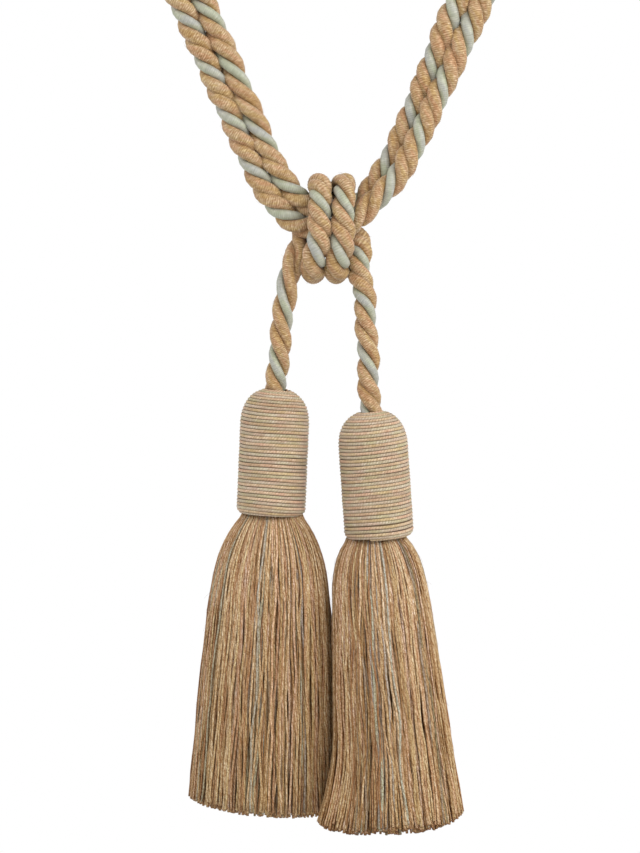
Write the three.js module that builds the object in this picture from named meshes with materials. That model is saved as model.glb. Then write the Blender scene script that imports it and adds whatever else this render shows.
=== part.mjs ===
// A double-tassel curtain tieback: a rope embrace of two rounds, a second rope
// hitched round both of them, and a tassel at each end of that second rope.
// Millimetres, +Z up, the front faces -Y. The origin is the hook point, which is
// the underside of the inner round at the top of the loop.
import * as THREE from 'three';

// ---- driving sizes ----
const ROPE_RADIUS = 5.7; // mean radius of the three-strand rope, between its crests and its grooves
const ROPE_SIDES = 10;
const KNOT = { x: 0, y: 5, z: -256, tight: 27, loose: 40, squeeze: 0.93 };

const LOOP_CENTRE_Z = -78.8;
const ROUNDS = {
  inner: { radius: 84.8, lean: 22.7 },
  outer: { radius: 98.2, lean: 24.8 },
};
const ARC_STEP = 15; // degrees of the loop's arc between two route points

const HEAD = { radius: 20, height: 73.5, dome: 22, domePower: 2.4, rim: 4.5 };
const SEAT_GAP = 0.3;

// lean is the tilt of a tassel's foot to the right and nod its tilt to the back, in degrees.
// shift is how far the skirt sits to the right of the head's axis; driftX and driftY are how
// far it swings out of that line for each mm of its drop. hem is how much lower its cut ends
// hang for each mm further to the right. Below SPLAY_FROM its foot swings forward by kick in
// all, and its left side spreads out by splay.
const TASSELS = {
  left: {
    top: { x: -31.3, y: 3, z: -345.7 },
    lean: -2.4,
    nod: 2,
    skirt: {
      length: 172.4, neck: 17.6, swell: 15.9, swellRun: 19, flare: 0.061,
      shift: 1, driftX: 0.006, driftY: 0.03, hem: 0.04, kick: 0, splay: 0,
    },
  },
  right: {
    top: { x: 23, y: -7, z: -358.6 },
    lean: 4,
    nod: 4.5,
    skirt: {
      length: 160.7, neck: 17.1, swell: 8.9, swellRun: 9.5, flare: 0.073,
      shift: -2.1, driftX: 0.012, driftY: -0.115, hem: 0, kick: 16, splay: 12,
    },
  },
};
const SKIRT_DEPTH = 0.78; // front-to-back size of a skirt as a share of its width
const SKIRT_CROWN = 5; // the yarn ends at the rim hang this much higher than the middle ones
const SPLAY_FROM = 105;

// ---- routes of the ropes ----
// Each row is one point of a centreline: x to the right, y to the back, z up.
const row = (x, y, z) => new THREE.Vector3(x, y, z);

const INNER_UP_RIGHT = [
  row(-5.9, 0, -241.4),
  row(0.3, 0, -242.1),
  row(6.7, 0.6, -241.9),
  row(11.3, 2.1, -241.0),
  row(15.3, 3.8, -239.4),
  row(18.9, 5.4, -236.4),
  row(23.3, 5.8, -231.3),
  row(26.8, 5.5, -226.2),
  row(29.9, 5.1, -221.0),
  row(35.1, 4.6, -212.0),
  row(47.8, 3.2, -184.4),
  row(70.1, 0, -129.2),
];
const INNER_DOWN_LEFT = [
  row(-70.1, 0, -129.2),
  row(-46.5, 0, -184.4),
  row(-34.5, 0, -212.0),
  row(-29.2, 0, -222.5),
  row(-23.7, 0, -230.3),
  row(-18.3, 0, -236.2),
  row(-12.8, 0, -240.1),
  row(-6.7, 0, -241.3),
];
const OUTER_UP_RIGHT = [
  row(0.7, 0, -253.9),
  row(6.4, -0.5, -253.6),
  row(11.2, -2.6, -252.1),
  row(15.3, -4.8, -249.0),
  row(19.8, -5.4, -244.8),
  row(25.4, -5.4, -239.6),
  row(32.8, -5.1, -231.9),
  row(37.9, -4.7, -225.6),
  row(41.6, -4.4, -219.8),
  row(46.6, -4.0, -211.0),
  row(59.3, -3.2, -184.4),
  row(84.7, 0, -129.2),
];
const OUTER_DOWN_LEFT = [
  row(-84.7, 0, -129.2),
  row(-60.1, 0, -184.4),
  row(-48.1, 0, -211.7),
  row(-41.8, 0, -224.7),
  row(-34.9, 0, -236.5),
  row(-29.4, 0, -243.2),
  row(-23.3, 0, -248.9),
  row(-17.6, 0, -252.2),
  row(-12.0, 0, -253.5),
  row(-6.0, 0, -253.9),
  row(-0.1, 0, -254.0),
];

// The second rope is followed from the left tassel to the right one.
const LEFT_TAIL = [
  row(-31.3, 3, -345.4),
  row(-30.8, 2.6, -339),
  row(-29.8, 2, -330),
  row(-28.9, 1.5, -319.5),
  row(-27.5, 1, -308),
  row(-26.1, 0.5, -295),
  row(-25.0, 0.3, -285.6),
  row(-22.7, 1, -276.4),
  row(-19.1, 3.4, -269.2),
  row(-17.4, 7.0, -262.8),
  row(-14.8, 10.8, -256.9),
  row(-10.5, 12.9, -250.8),
  row(-7.1, 13, -244.6),
];
// One wrap, from behind the top of the loop ropes, over them, down the front and under.
// slide is how far the wrap has moved over to the left by then.
const WRAP = [
  { y: 12, z: -237.2, slide: 0 },
  { y: 7.6, z: -231.2, slide: 0 },
  { y: 0, z: -228.9, slide: 0 },
  { y: -7.2, z: -231.5, slide: 0 },
  { y: -11.6, z: -237.8, slide: 0 },
  { y: -12.9, z: -246, slide: 0 },
  { y: -12.8, z: -254.5, slide: 0.3 },
  { y: -12.2, z: -263, slide: 1 },
  { y: -9.6, z: -270.4, slide: 2.4 },
  { y: -3.8, z: -276, slide: 3.6 },
  { y: 3.8, z: -278.1, slide: 4 },
  { y: 11.2, z: -276.4, slide: 4 },
];
const WRAP_LEFT_X = -6;
const WRAP_RIGHT_X = 7.4;
const BIGHT = [
  row(-11.0, 17.5, -271.6),
  row(-11.8, 21.9, -265.4),
  row(-8.6, 24.6, -259.4),
  row(-1.6, 25.6, -256.4),
  row(5.2, 24.8, -259.3),
  row(7.8, 22.1, -265.4),
  row(6.2, 17.5, -271.6),
];
const RIGHT_TAIL = [
  row(7.9, 13.2, -244.2),
  row(8.7, 13.3, -250),
  row(11.4, 11.6, -255.2),
  row(14.8, 8.4, -259.6),
  row(16.8, 5.2, -265.4),
  row(16.5, 2.8, -272.6),
  row(16.8, 1, -280.2),
  row(18.4, -0.6, -288),
  row(20.1, -2.2, -298.2),
  row(20.3, -3.7, -309.7),
  row(21.0, -5.1, -321.2),
  row(21.9, -6.2, -332),
  row(21.8, -6.9, -343.1),
  row(22.3, -7, -351.4),
  row(23.0, -7, -358.2),
];

function loopArc({ radius, lean }) {
  const sweep = 180 + 2 * lean;
  const steps = Math.round(sweep / ARC_STEP);
  const points = [];
  for (let i = 0; i <= steps; i += 1) {
    const angle = THREE.MathUtils.degToRad(-lean + (sweep * i) / steps);
    points.push(row(radius * Math.cos(angle), 0, LOOP_CENTRE_Z + radius * Math.sin(angle)));
  }
  return points;
}

function tasselCordRoute() {
  const wrapAt = (topX) => WRAP.map(({ y, z, slide }) => row(topX - slide, y, z));
  return [
    ...LEFT_TAIL,
    ...wrapAt(WRAP_LEFT_X),
    ...BIGHT,
    ...wrapAt(WRAP_RIGHT_X).reverse(),
    ...RIGHT_TAIL,
  ];
}

// ---- rope solid ----
function ropeRadiusAt(point) {
  const away = point.distanceTo(row(KNOT.x, KNOT.y, KNOT.z));
  const ease = THREE.MathUtils.smoothstep(away, KNOT.tight, KNOT.loose);
  return ROPE_RADIUS * (KNOT.squeeze + (1 - KNOT.squeeze) * ease);
}

// Frames that turn as little as possible from one station of the route to the next.
function stationFrames(curve, count) {
  const frames = [];
  let across = null;
  for (let i = 0; i <= count; i += 1) {
    const along = curve.getTangent(i / count);
    if (across === null) across = row(0, -1, 0);
    across = across.clone().addScaledVector(along, -across.dot(along)).normalize();
    const up = new THREE.Vector3().crossVectors(along, across);
    frames.push({ centre: curve.getPoint(i / count), across, up });
  }
  return frames;
}

function ropeGeometry(points, stepsPerPoint) {
  const curve = new THREE.CatmullRomCurve3(points, false, 'centripetal');
  const steps = (points.length - 1) * stepsPerPoint;
  const section = new THREE.Shape();
  for (let i = 0; i < ROPE_SIDES; i += 1) {
    const angle = (2 * Math.PI * i) / ROPE_SIDES;
    section.lineTo(Math.cos(angle), Math.sin(angle));
  }
  const geometry = new THREE.ExtrudeGeometry(section, { depth: 1, steps, bevelEnabled: false });
  const frames = stationFrames(curve, steps);
  const position = geometry.attributes.position;
  for (let i = 0; i < position.count; i += 1) {
    const { centre, across, up } = frames[Math.round(position.getZ(i) * steps)];
    const radius = ropeRadiusAt(centre);
    const vertex = centre.clone();
    vertex.addScaledVector(across, position.getX(i) * radius);
    vertex.addScaledVector(up, position.getY(i) * radius);
    position.setXYZ(i, vertex.x, vertex.y, vertex.z);
  }
  return geometry;
}

// ---- tassel head: the wound mould, its top at the local origin ----
function headRadius(depth) {
  const rise = Math.max(0, 1 - depth / HEAD.dome);
  return HEAD.radius * (1 - rise ** HEAD.domePower) ** (1 / HEAD.domePower);
}

function headGeometry() {
  const profile = [new THREE.Vector2(0, 0)];
  for (const share of [0.02, 0.06, 0.12, 0.2, 0.32, 0.46, 0.62, 0.8, 1]) {
    const depth = share * HEAD.dome;
    profile.push(new THREE.Vector2(headRadius(depth), -depth));
  }
  for (const angle of [0, 30, 60, 90]) {
    const turn = THREE.MathUtils.degToRad(angle);
    profile.push(new THREE.Vector2(
      HEAD.radius - HEAD.rim * (1 - Math.cos(turn)),
      -HEAD.height + HEAD.rim * (1 - Math.sin(turn)),
    ));
  }
  profile.push(new THREE.Vector2(0, -HEAD.height));
  return new THREE.LatheGeometry(profile.reverse(), 28).rotateX(Math.PI / 2);
}

// ---- tassel skirt: the outer form of the hanging yarns, its top at the local origin ----
function skirtGeometry(size) {
  const { length, neck, swell, swellRun, flare, shift, driftX, driftY, hem, kick, splay } = size;
  const radiusAt = (depth) => neck + swell * (1 - Math.exp(-depth / swellRun)) + flare * depth;
  const rimDepth = length - SKIRT_CROWN;
  const profile = [new THREE.Vector2(0, 0)];
  for (const share of [0, 0.03, 0.07, 0.13, 0.2, 0.3, 0.45, 0.65, 0.76, 0.85, 0.93, 1]) {
    profile.push(new THREE.Vector2(radiusAt(share * rimDepth), -share * rimDepth));
  }
  const rim = radiusAt(rimDepth);
  for (const share of [0.9, 0.65, 0.35]) {
    profile.push(new THREE.Vector2(rim * share, -length + SKIRT_CROWN * share ** 3));
  }
  profile.push(new THREE.Vector2(0, -length));
  const geometry = new THREE.LatheGeometry(profile.reverse(), 28).rotateX(Math.PI / 2);
  geometry.scale(1, SKIRT_DEPTH, 1);
  const position = geometry.attributes.position;
  for (let i = 0; i < position.count; i += 1) {
    const across = position.getX(i);
    const drop = -position.getZ(i);
    const depth = drop * (1 + (hem * across) / length);
    const late = Math.max(0, (depth - SPLAY_FROM) / (length - SPLAY_FROM)) ** 2;
    const left = Math.max(0, -across) / radiusAt(drop);
    position.setXYZ(
      i,
      across + shift + driftX * depth - splay * late * left,
      position.getY(i) + driftY * depth - kick * late,
      -depth,
    );
  }
  return geometry;
}

// ---- the scene graph ----
const part = new THREE.Group();

const ropeMaterial = () => new THREE.MeshStandardMaterial({ color: '#b8976f', roughness: 0.8, metalness: 0 });
const headMaterial = () => new THREE.MeshStandardMaterial({ color: '#b7a488', roughness: 0.85, metalness: 0 });
const skirtMaterial = () => new THREE.MeshStandardMaterial({ color: '#a9875f', roughness: 0.9, metalness: 0 });

function addMesh(parent, name, geometry, material) {
  const mesh = new THREE.Mesh(geometry, material);
  mesh.name = name;
  parent.add(mesh);
  return mesh;
}

function addTassel(side, { top, lean, nod, skirt }) {
  const tassel = new THREE.Group();
  tassel.position.set(top.x, top.y, top.z);
  tassel.rotation.set(THREE.MathUtils.degToRad(nod), -THREE.MathUtils.degToRad(lean), 0);
  addMesh(tassel, `head_${side}`, headGeometry(), headMaterial());
  const skirtMesh = addMesh(tassel, `skirt_${side}`, skirtGeometry(skirt), skirtMaterial());
  skirtMesh.position.z = -HEAD.height - SEAT_GAP;
  part.add(tassel);
}

const innerRoute = [...INNER_UP_RIGHT, ...loopArc(ROUNDS.inner), ...INNER_DOWN_LEFT];
const outerRoute = [...OUTER_UP_RIGHT, ...loopArc(ROUNDS.outer), ...OUTER_DOWN_LEFT];
addMesh(part, 'embrace_inner', ropeGeometry(innerRoute, 2), ropeMaterial());
addMesh(part, 'embrace_outer', ropeGeometry(outerRoute, 2), ropeMaterial());
addMesh(part, 'tassel_cord', ropeGeometry(tasselCordRoute(), 2), ropeMaterial());
addTassel('left', TASSELS.left);
addTassel('right', TASSELS.right);

export default part;
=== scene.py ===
# %% [markdown]
# # A curtain tieback with a pair of tassels
# A tieback is a loop of furnishing rope that goes round a gathered curtain and over a hook
# in the wall. This one has a loop of two rounds. A second rope is hitched round both of
# them, and each of its ends runs into a tassel: a turned mould wound with fine yarn, and
# under it a long skirt of cut yarns. The loop hangs from the origin, and the front of the
# knot faces -Y.
#
# The construction comes from the fixed frame, which holds one plain solid for each piece.
# This lesson dresses those solids: it lays three strands along every rope, winds the
# heads row by row and hangs the skirts yarn by yarn.

import math

import bpy
import numpy as np
from mathutils import Matrix, Vector


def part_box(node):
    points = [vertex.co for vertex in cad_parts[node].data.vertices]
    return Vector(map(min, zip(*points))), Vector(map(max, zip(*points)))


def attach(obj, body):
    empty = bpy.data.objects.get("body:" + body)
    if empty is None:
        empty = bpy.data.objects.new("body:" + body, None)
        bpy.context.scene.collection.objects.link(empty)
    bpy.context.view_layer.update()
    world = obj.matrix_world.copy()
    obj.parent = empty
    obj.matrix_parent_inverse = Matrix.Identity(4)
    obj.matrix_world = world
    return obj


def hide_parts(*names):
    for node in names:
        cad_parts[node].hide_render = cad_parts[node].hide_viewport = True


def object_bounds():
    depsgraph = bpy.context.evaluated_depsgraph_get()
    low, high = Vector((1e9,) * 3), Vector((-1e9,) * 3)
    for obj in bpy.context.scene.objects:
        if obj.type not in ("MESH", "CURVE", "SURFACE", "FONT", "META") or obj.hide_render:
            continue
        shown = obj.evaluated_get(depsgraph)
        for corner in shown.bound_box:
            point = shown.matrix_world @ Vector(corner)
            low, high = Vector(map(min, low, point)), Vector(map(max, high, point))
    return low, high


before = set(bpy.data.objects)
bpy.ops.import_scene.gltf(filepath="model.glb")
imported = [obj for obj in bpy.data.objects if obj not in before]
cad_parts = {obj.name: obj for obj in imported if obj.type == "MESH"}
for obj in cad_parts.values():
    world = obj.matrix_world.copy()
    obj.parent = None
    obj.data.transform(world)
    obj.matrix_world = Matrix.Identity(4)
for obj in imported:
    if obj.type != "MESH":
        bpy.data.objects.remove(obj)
cad_low, cad_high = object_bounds()
bpy.ops.object.select_all(action="DESELECT")

# Blender works in metres, and trimmings are measured in millimetres.
MM = 0.001
print("the frame's box, mm:", [round(v / MM, 1) for v in (*cad_low, *cad_high)])

# %% [markdown]
# ## The camera
# A rope and its strands look right only without the bulge of a wide lens, so the camera
# stands well back with a long lens and looks straight at the front. Its picture ends a
# little under the longest yarns, and cuts through the arms of the loop at the top, so the
# hook end of the loop stays out of sight.

# %% Place the camera
PICTURE_HEIGHT = 490.5 * MM
PICTURE_FOOT = -613.3 * MM
CAMERA_X = -6 * MM
LENS = 100
SENSOR = 36

picture_centre = Vector((CAMERA_X, 0, PICTURE_FOOT + PICTURE_HEIGHT / 2))
camera_data = bpy.data.cameras.new("camera")
camera_data.lens = LENS
camera_data.sensor_width = SENSOR
camera = bpy.data.objects.new("camera", camera_data)
bpy.context.collection.objects.link(camera)
camera.location = picture_centre - Vector((0, PICTURE_HEIGHT * LENS / SENSOR, 0))
camera.rotation_euler = (math.radians(90), 0, 0)
bpy.context.scene.camera = camera
print("the camera stands", round(-camera.location.y, 3), "m in front")

# %% [markdown]
# ## Finishes
# Every finish that shows is dry yarn, so there is no gloss map to paint. What tells jute from
# cotton is the colour, how much it changes from one turn of the yarn to the next, and how
# hard the tiny ridges catch the light. The strands and yarns get their own UV map, in
# millimetres along and once around, so that the fibres follow the yarn through every bend.
#
# Each finish starts as a ramp over fine fibre noise. Tints are then multiplied over it: slow
# drifts, patches that are a little pinker or greener, and painted shade: in the hollows between
# ribs, plies and rows, on the inner sides of strands and yarns, and towards a skirt's foot. One
# even colour would make a long yarn look like plastic.

# %% Mix paint
def paint(red, green, blue):
    """A colour as a screen shows it, 0 to 255, turned into the light that Blender mixes."""
    channels = []
    for value in (red, green, blue):
        share = value / 255
        channels.append(share / 12.92 if share <= 0.04045 else ((share + 0.055) / 1.055) ** 2.4)
    return (*channels, 1.0)


WHITE = (1, 1, 1, 1)
print("a grey of 128 is", round(paint(128, 128, 128)[0], 3), "of full light")


# %% Wire up nodes
class Recipe:
    """A material's node tree, with short calls for the few nodes that yarn needs."""

    def __init__(self, name, roughness, specular, sheen=0.0):
        self.material = bpy.data.materials.new(name)
        self.material.use_nodes = True
        self.tree = self.material.node_tree
        self.shader = self.tree.nodes["Principled BSDF"]
        self.shader.inputs["Roughness"].default_value = roughness
        self.shader.inputs["Specular IOR Level"].default_value = specular
        self.shader.inputs["Sheen Weight"].default_value = sheen
        self.shader.inputs["Sheen Roughness"].default_value = 0.5

    def node(self, kind, **settings):
        """A new node with its settings filled in."""
        made = self.tree.nodes.new(kind)
        for key, value in settings.items():
            setattr(made, key, value)
        return made

    def link(self, source, target):
        self.tree.links.new(source, target)

    def attribute(self, name):
        """A number that the mesh carries at every corner, such as a yarn's tone."""
        return self.node("ShaderNodeAttribute", attribute_name=name).outputs["Fac"]

    def place_on_yarn(self, twist=0.0):
        """How far along the yarn a point is, in mm, and its angle round the yarn.

        twist lays the angle over as spinning does, by that many turns for each mm along.
        """
        place = self.node("ShaderNodeUVMap", uv_map="yarn_map").outputs["UV"]
        parts = self.node("ShaderNodeSeparateXYZ")
        self.link(place, parts.inputs[0])
        slanted = self.node("ShaderNodeMath", operation="MULTIPLY_ADD")
        self.link(parts.outputs["X"], slanted.inputs[0])
        slanted.inputs[1].default_value = twist
        self.link(parts.outputs["Y"], slanted.inputs[2])
        return parts.outputs["X"], self.scaled(slanted.outputs[0], 2 * math.pi, 0)

    def noise(self, along, around, twist=0.0, detail=2.0):
        """Noise on a yarn's skin: how often it changes per mm along and per turn around."""
        run, turn = self.place_on_yarn(twist)
        spot = self.node("ShaderNodeCombineXYZ")
        self.link(self.scaled(run, along, 0), spot.inputs[0])
        for axis, wave in ((1, "COSINE"), (2, "SINE")):
            circle = self.scaled(self.wave(turn, wave), around / (2 * math.pi), 0)
            self.link(circle, spot.inputs[axis])
        made = self.node("ShaderNodeTexNoise")
        made.inputs["Scale"].default_value = 1.0
        made.inputs["Detail"].default_value = detail
        self.link(spot.outputs[0], made.inputs["Vector"])
        return made.outputs["Fac"]

    def section(self):
        """Where a point is round the yarn: 1 on the side that faces outwards, 0 on the inner side."""
        _, turn = self.place_on_yarn()
        return self.scaled(self.wave(turn, "COSINE"), 0.5, 0.5)

    def plies(self, length, count=2):
        """The slant of a plied yarn: ridges that go round it once in the given length, in mm."""
        _, turn = self.place_on_yarn(1 / length)
        return self.scaled(self.wave(self.scaled(turn, count, 0), "SINE"), 0.5, 0.5)

    def scaled(self, source, factor, offset):
        """The source times the factor, plus the offset."""
        made = self.node("ShaderNodeMath", operation="MULTIPLY_ADD")
        self.link(source, made.inputs[0])
        made.inputs[1].default_value = factor
        made.inputs[2].default_value = offset
        return made.outputs[0]

    def wave(self, source, operation):
        """The sine or cosine of an angle."""
        made = self.node("ShaderNodeMath", operation=operation)
        self.link(source, made.inputs[0])
        return made.outputs[0]

    def added(self, first, second):
        made = self.node("ShaderNodeMath", operation="ADD")
        self.link(first, made.inputs[0])
        self.link(second, made.inputs[1])
        return made.outputs[0]

    def ramp(self, factor, *stops):
        """Colours along a factor, each stop a place from 0 to 1 and its paint."""
        made = self.node("ShaderNodeValToRGB")
        band = made.color_ramp
        while len(band.elements) < len(stops):
            band.elements.new(0.5)
        for element, (place, colour) in zip(band.elements, stops):
            element.position = place
            element.color = colour
        self.link(factor, made.inputs["Fac"])
        return made.outputs["Color"]

    def tinted(self, body, *tints):
        """The body's colour with tints laid over it one by one, as glazes darken a paint."""
        for tint in tints:
            made = self.node("ShaderNodeMix", data_type="RGBA", blend_type="MULTIPLY")
            # A Mix node for colours has its factor at input 0 and its colours at 6 and 7.
            made.inputs[0].default_value = 1.0
            self.link(body, made.inputs[6])
            self.link(tint, made.inputs[7])
            body = made.outputs[2]
        return body

    def colour(self, source):
        self.link(source, self.shader.inputs["Base Color"])

    def bump(self, height, strength, distance):
        """Fine relief that only bends the light, without moving the surface."""
        made = self.node("ShaderNodeBump")
        made.inputs["Strength"].default_value = strength
        made.inputs["Distance"].default_value = distance
        self.link(height, made.inputs["Height"])
        self.link(made.outputs["Normal"], self.shader.inputs["Normal"])


print("recipes can use:", ", ".join(name for name in vars(Recipe) if not name.startswith("_")))


# %% Jute gimp and cotton gimp for the ropes
def jute_gimp():
    """Golden jute wound tight over a cord: rough ribs, pale straw fibres, and painted shade in the rib
    hollows and on each strand's inner side.
    """
    recipe = Recipe("jute_gimp", roughness=0.6, specular=0.3, sheen=0.15)
    fibres = recipe.noise(1.25, 13, twist=0.05, detail=3)
    body = recipe.ramp(
        fibres, (0.3, paint(154, 123, 82)), (0.5, paint(174, 150, 117)), (0.72, paint(216, 196, 168))
    )
    drift = recipe.ramp(recipe.noise(0.05, 4), (0.35, WHITE), (0.7, paint(244, 230, 214)))
    patches = recipe.ramp(
        recipe.noise(0.13, 7, detail=1),
        (0.36, paint(255, 240, 234)), (0.5, paint(252, 252, 250)), (0.64, paint(250, 246, 218)),
    )
    # Painted shade: the hollows between the ribs are darkened.
    rib_shade = recipe.ramp(recipe.attribute("ridge"), (0.1, paint(212, 200, 184)), (0.8, WHITE))
    # Painted shade: the sides of each strand, where it meets the others, and its inner side are darkened.
    inner_side_shade = recipe.ramp(recipe.section(), (0.4, paint(232, 220, 202)), (0.82, WHITE))
    recipe.colour(recipe.tinted(body, drift, patches, rib_shade, inner_side_shade))
    recipe.bump(fibres, 0.7, 0.3 * MM)
    return recipe.material


def cotton_gimp():
    """Sea-green mercerised cotton: smoother and greyer than the jute, with a satin shine."""
    recipe = Recipe("cotton_gimp", roughness=0.45, specular=0.45, sheen=0.1)
    fibres = recipe.noise(1.2, 5, detail=2)
    body = recipe.ramp(
        fibres, (0.3, paint(148, 148, 136)), (0.5, paint(158, 157, 144)), (0.75, paint(174, 172, 158))
    )
    patches = recipe.ramp(
        recipe.noise(0.09, 4, detail=1),
        (0.36, paint(244, 246, 255)), (0.5, paint(252, 254, 252)), (0.64, paint(246, 253, 238)),
    )
    # Painted shade: the hollows between the ribs are darkened.
    rib_shade = recipe.ramp(recipe.attribute("ridge"), (0.0, paint(232, 230, 224)), (0.7, WHITE))
    # Painted shade: the sides of each strand, where it meets the others, and its inner side are darkened.
    inner_side_shade = recipe.ramp(recipe.section(), (0.45, paint(236, 232, 222)), (0.95, WHITE))
    recipe.colour(recipe.tinted(body, patches, rib_shade, inner_side_shade))
    recipe.bump(fibres, 0.2, 0.15 * MM)
    return recipe.material


jute = jute_gimp()
cotton = cotton_gimp()
print("rope finishes:", jute.name, cotton.name)

# %% [markdown]
# ## Building many tubes at once
# Strands, winding yarns and skirt yarns are all long thin tubes. Modelling thousands of
# them by hand, or bevelling thousands of curves, would be slow to change. Instead one
# helper takes arrays of ring centres and makes a joined mesh of closed tubes, with their
# UV map and attributes. A tube's ring lies between two side directions, so a section can
# be round, flattened or slanted.

# %% A helper that joins tubes into one mesh
def tube_mesh(name, centres, side_a, side_b, sides, run, attributes, materials, material_of_tube):
    """Closed tubes as one object.

    centres, side_a and side_b are arrays of tubes x rings x 3: a ring's corners are its
    centre plus the cosine and sine of their angle times side_a and side_b. side_a, side_b
    and the way along the tube follow the right-hand rule. run is tubes x rings, the
    distance along in metres, and each attribute is tubes x rings too.
    """
    tubes, rings, _ = centres.shape
    angle = np.arange(sides) * 2 * math.pi / sides
    corners = (
        centres[:, :, None, :]
        + side_a[:, :, None, :] * np.cos(angle)[None, None, :, None]
        + side_b[:, :, None, :] * np.sin(angle)[None, None, :, None]
    )
    points = corners.reshape(-1, 3)
    first = (np.arange(tubes) * rings * sides)[:, None, None]
    ring = (np.arange(rings - 1) * sides)[None, :, None]
    corner = np.arange(sides)[None, None, :]
    following = (corner + 1) % sides
    a = first + ring + corner
    b = first + ring + following
    quads = np.stack([a, b, b + sides, a + sides], axis=-1).reshape(-1, 4)
    quad_tube = np.repeat(np.arange(tubes), (rings - 1) * sides)

    start_caps = (first[:, 0] + corner[0, :, ::-1]).reshape(tubes, sides)
    end_caps = (first[:, 0] + (rings - 1) * sides + corner[0]).reshape(tubes, sides)
    caps = np.concatenate([start_caps, end_caps])

    mesh = bpy.data.meshes.new(name)
    mesh.vertices.add(len(points))
    mesh.vertices.foreach_set("co", points.ravel())
    loops = np.concatenate([quads.ravel(), caps.ravel()])
    sizes = np.concatenate([np.full(len(quads), 4), np.full(len(caps), sides)])
    mesh.loops.add(len(loops))
    mesh.loops.foreach_set("vertex_index", loops)
    mesh.polygons.add(len(sizes))
    mesh.polygons.foreach_set("loop_start", np.concatenate([[0], np.cumsum(sizes)[:-1]]))
    tube_of_face = np.concatenate([quad_tube, np.arange(tubes), np.arange(tubes)])
    mesh.polygons.foreach_set("material_index", np.asarray(material_of_tube)[tube_of_face])

    # The last strip of faces closes the ring, so its far side is a whole turn round, not 0.
    along = np.repeat((run / MM).ravel(), sides)
    around = np.tile(np.arange(sides) / sides, tubes * rings)
    last = np.zeros((len(quads), 4))
    last[:, 1:3] = np.where((quads % sides)[:, 1:3] == 0, 1.0, 0.0)
    v = around[loops] + np.concatenate([last.ravel(), np.zeros(caps.size)])
    uv = mesh.uv_layers.new(name="yarn_map")
    uv.data.foreach_set("uv", np.column_stack([along[loops], v]).ravel())
    for key, values in attributes.items():
        layer = mesh.attributes.new(key, "FLOAT", "POINT")
        layer.data.foreach_set("value", np.repeat(values.ravel(), sides))
    for material in materials:
        mesh.materials.append(material)
    mesh.update(calc_edges=True)
    mesh.validate()
    mesh.shade_smooth()
    piece = bpy.data.objects.new(name, mesh)
    bpy.context.collection.objects.link(piece)
    print(f"{name}: {tubes} tubes, {2 * len(quads) + len(caps) * (sides - 2)} triangles")
    return piece


def unit(vectors):
    """The same directions, each one long."""
    return vectors / np.linalg.norm(vectors, axis=-1, keepdims=True)


def run_along(places):
    """The distance from the start of a line to each of its points."""
    steps = np.linalg.norm(np.diff(places, axis=-2), axis=-1)
    return np.concatenate([np.zeros((*steps.shape[:-1], 1)), np.cumsum(steps, axis=-1)], axis=-1)


def eased(share):
    """A share from 0 to 1, with a soft start and a soft end."""
    return share * share * (3 - 2 * share)


print("helpers are ready: tube_mesh, unit, run_along, eased")

# %% [markdown]
# ## The ropes' routes
# The frame's rope solids follow these centrelines, so the strands follow them too. Each
# row is a point in millimetres: x to the right, y to the back, z up. The two rounds of
# the loop have straight arms and one round arc. The second rope goes from the left tassel
# up behind the loop, over it, down the front as a wrap and under it, across the back, and
# then under again, up the front as the other wrap, over, and down behind to the right
# tassel.

# %% Write down the routes
LOOP_CENTRE_Z = -78.8
ARC_STEP = 15
# Radius of each round's arc over the hook, and how many degrees past level it runs on.
ROUNDS = {"embrace_inner": (84.8, 22.7), "embrace_outer": (98.2, 24.8)}
INNER_UP_RIGHT = [
    (-5.9, 0, -241.4), (0.3, 0, -242.1), (6.7, 0.6, -241.9), (11.3, 2.1, -241.0),
    (15.3, 3.8, -239.4), (18.9, 5.4, -236.4), (23.3, 5.8, -231.3), (26.8, 5.5, -226.2),
    (29.9, 5.1, -221.0), (35.1, 4.6, -212.0), (47.8, 3.2, -184.4), (70.1, 0, -129.2),
]
INNER_DOWN_LEFT = [
    (-70.1, 0, -129.2), (-46.5, 0, -184.4), (-34.5, 0, -212.0), (-29.2, 0, -222.5),
    (-23.7, 0, -230.3), (-18.3, 0, -236.2), (-12.8, 0, -240.1), (-6.7, 0, -241.3),
]
OUTER_UP_RIGHT = [
    (0.7, 0, -253.9), (6.4, -0.5, -253.6), (11.2, -2.6, -252.1), (15.3, -4.8, -249.0),
    (19.8, -5.4, -244.8), (25.4, -5.4, -239.6), (32.8, -5.1, -231.9), (37.9, -4.7, -225.6),
    (41.6, -4.4, -219.8), (46.6, -4.0, -211.0), (59.3, -3.2, -184.4), (84.7, 0, -129.2),
]
OUTER_DOWN_LEFT = [
    (-84.7, 0, -129.2), (-60.1, 0, -184.4), (-48.1, 0, -211.7), (-41.8, 0, -224.7),
    (-34.9, 0, -236.5), (-29.4, 0, -243.2), (-23.3, 0, -248.9), (-17.6, 0, -252.2),
    (-12.0, 0, -253.5), (-6.0, 0, -253.9), (-0.1, 0, -254.0),
]
LEFT_TAIL = [
    (-31.3, 3, -345.4), (-30.8, 2.6, -339), (-29.8, 2, -330), (-28.9, 1.5, -319.5),
    (-27.5, 1, -308), (-26.1, 0.5, -295), (-25.0, 0.3, -285.6), (-22.7, 1, -276.4),
    (-19.1, 3.4, -269.2), (-17.4, 7.0, -262.8), (-14.8, 10.8, -256.9), (-10.5, 12.9, -250.8),
    (-7.1, 13, -244.6),
]
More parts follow.
